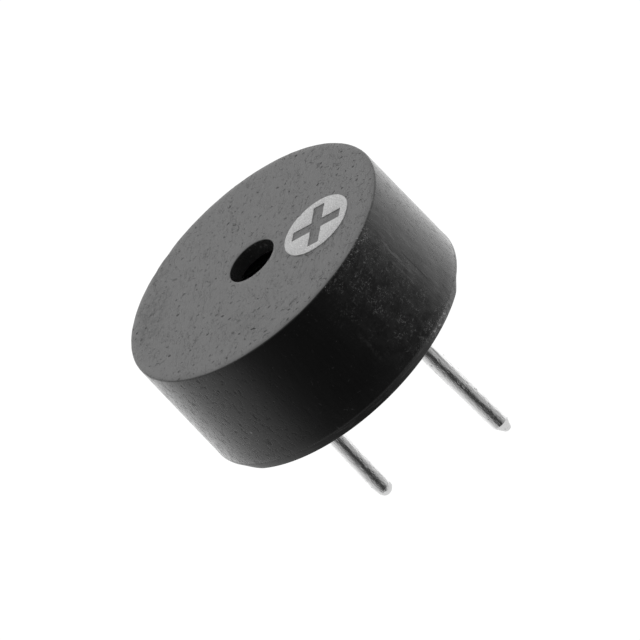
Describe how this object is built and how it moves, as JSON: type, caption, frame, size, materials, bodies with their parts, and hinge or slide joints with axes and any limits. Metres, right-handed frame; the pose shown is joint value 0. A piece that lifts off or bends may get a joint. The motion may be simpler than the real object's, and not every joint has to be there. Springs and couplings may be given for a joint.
{
  "type": "magnetic buzzer",
  "caption": "Round black sounder for a circuit board, with a sound hole in the middle of its top, a printed plus mark and tinned wire leads.",
  "frame": {"origin": "centre of the seating face, which is the plane of the stand-off arcs that the body stands on the board with", "axes": "+Z towards the sound hole, with the leads along -Z; +X from the centre to the positive lead and the polarity mark"},
  "size_m": [0.009, 0.009, 0.0091],
  "materials": {
    "case_plastic": "fine moulded matt, lightly scuffed",
    "mark_ink": "printed light grey ink",
    "diaphragm_metal": "rolled nickel-iron",
    "iron": "plated soft iron",
    "ring_plastic": "natural nylon",
    "magnet": "bonded ferrite, unpainted",
    "polyester": "polyester film",
    "enamelled_copper": "enamelled copper wire",
    "base_plastic": "moulded matt",
    "tinned_wire": "bright tin plate, lightly marked",
    "solder": "satin solder",
    "sealing_compound": "cured black epoxy"
  },
  "bodies": {
    "root": {"case": "case_plastic", "polarity_mark": "mark_ink", "diaphragm": "diaphragm_metal", "armature_disc": "iron", "support_ring": "ring_plastic", "magnet_ring": "magnet", "pole_core": "iron", "yoke_plate": "iron", "coil_washer": "polyester", "coil": "enamelled_copper", "base": "base_plastic", "lead_positive": "tinned_wire", "lead_negative": "tinned_wire", "solder_positive": "solder", "solder_negative": "solder", "seal_positive": "sealing_compound", "seal_negative": "sealing_compound"}
  },
  "joints": []
}
